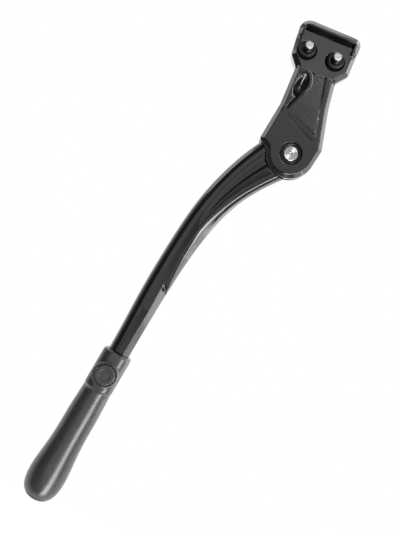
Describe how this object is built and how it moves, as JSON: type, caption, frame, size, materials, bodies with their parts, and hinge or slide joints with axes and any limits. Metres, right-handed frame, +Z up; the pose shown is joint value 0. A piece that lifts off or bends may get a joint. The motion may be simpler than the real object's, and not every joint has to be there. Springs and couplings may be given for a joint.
{
  "type": "bicycle kickstand",
  "caption": "Rear-mount bicycle kickstand: cast bracket with bolts, curved leg that folds on a pivot pin, and a sliding plastic foot locked by a push button.",
  "frame": {"origin": "midway between the two frame bolts, on the plane of the keepers' tops where the bicycle frame's tab seats", "axes": "+X along the bolt row, -Y along the bolts towards the bicycle frame, +Z up with the stand deployed"},
  "size_m": [0.0889, 0.0912, 0.3231],
  "materials": {
    "black_paint": "gloss black paint on a casting",
    "bright_steel": "turned bright steel",
    "black_plastic": "satin black",
    "spring_steel": "oiled spring steel",
    "slide_plastic": "natural slippery plastic",
    "bronze": "sintered bronze",
    "foot_plastic": "satin dark grey moulding",
    "sole_rubber": "matt rubber"
  },
  "bodies": {
    "bracket": {"bracket": "black_paint", "mount_bolts": "bright_steel", "bolt_washers": "bright_steel", "bolt_keepers": "black_plastic", "pivot_pin": "bright_steel", "pin_ring": "black_plastic", "pin_clip": "spring_steel", "brake_shoe": "slide_plastic", "brake_spring": "spring_steel"},
    "leg": {"leg": "black_paint", "pivot_bush": "bronze", "thrust_washers": "slide_plastic", "shank_end_plate": "bright_steel", "shank_end_screw": "bright_steel"},
    "foot": {"collar": "foot_plastic", "foot_sleeve": "foot_plastic", "guide_liner": "slide_plastic", "sole_plug": "sole_rubber", "lock_spring": "spring_steel"},
    "button": {"button": "foot_plastic", "lock_yoke": "bright_steel", "grip_pad": "spring_steel"}
  },
  "joints": [
    {"name": "leg_fold", "type": "hinge", "parent": "bracket", "child": "leg", "pos_m": [0.0057, 0.02505, -0.05737], "axis": [0, -0.9781, -0.2079], "range_deg": [0, 90]},
    {"name": "foot_slide", "type": "slide", "parent": "leg", "child": "foot", "axis": [-0.1323, 0.2061, -0.9696], "range_m": [0, 0.04]},
    {"name": "button_press", "type": "slide", "parent": "foot", "child": "button", "axis": [0, 0.9781, 0.2079], "range_m": [0, 0.002], "stiffness_N_per_m": 1500, "springref_m": -0.001, "deforming": ["lock_spring"]}
  ]
}
